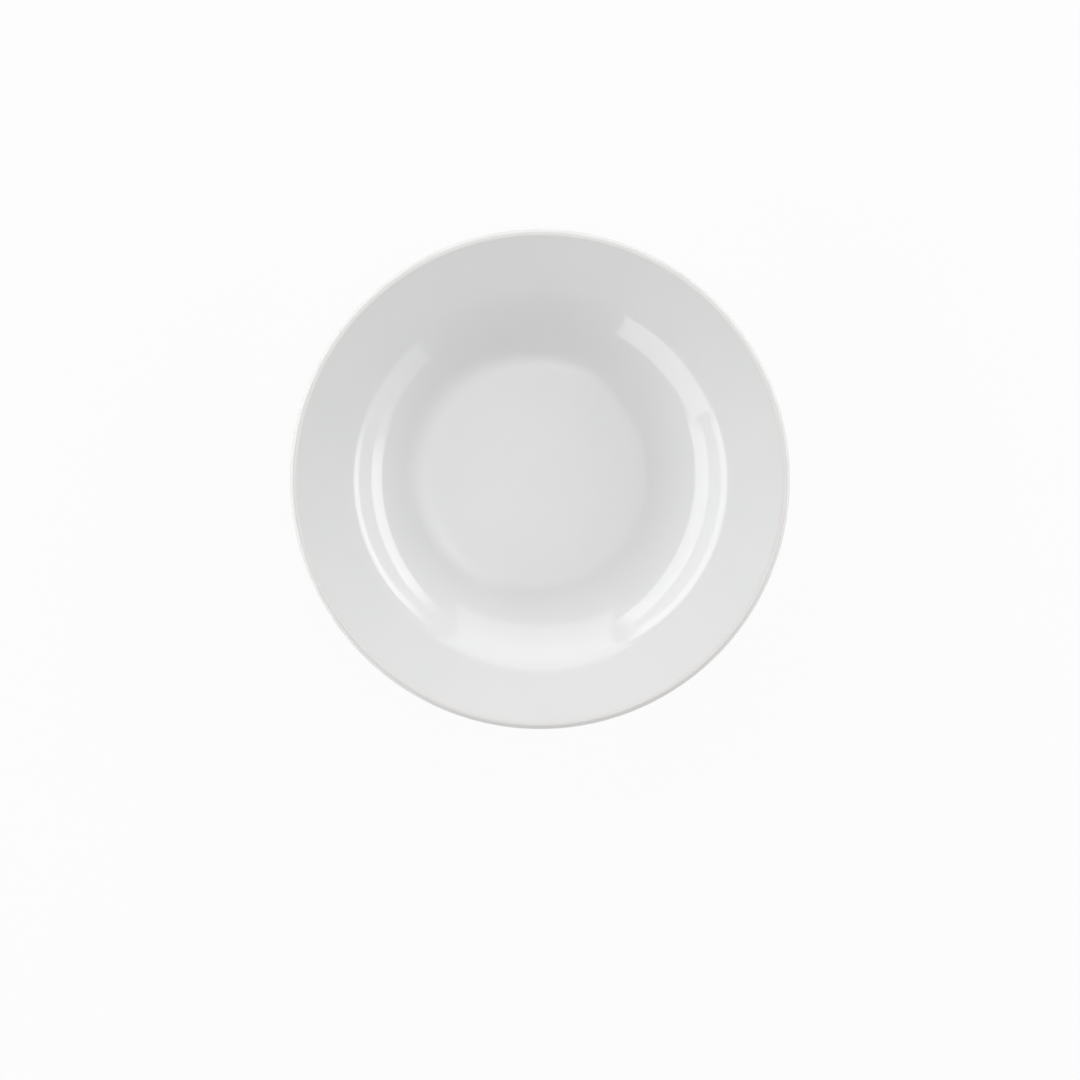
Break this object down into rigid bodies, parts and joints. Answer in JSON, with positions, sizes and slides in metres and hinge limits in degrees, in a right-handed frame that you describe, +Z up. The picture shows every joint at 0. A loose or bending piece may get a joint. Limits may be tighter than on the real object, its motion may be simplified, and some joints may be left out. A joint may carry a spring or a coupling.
{
  "type": "rimmed soup plate",
  "caption": "Round rimmed soup plate in white glazed porcelain, with a sloping rim, a deep rounded well and a tapered foot ring.",
  "frame": {"origin": "centre of the foot ring's standing face, on the table", "axes": "+Z up, along the axis that the plate was turned on; +X and +Y are free, because the plate is round"},
  "size_m": [0.23, 0.23, 0.0395],
  "materials": {
    "fired_body": "unglazed, wiped and polished",
    "glaze": "clear gloss glaze over a white body"
  },
  "bodies": {
    "root": {"porcelain_body": "fired_body", "outer_glaze": "glaze", "recess_glaze": "glaze"}
  },
  "joints": []
}
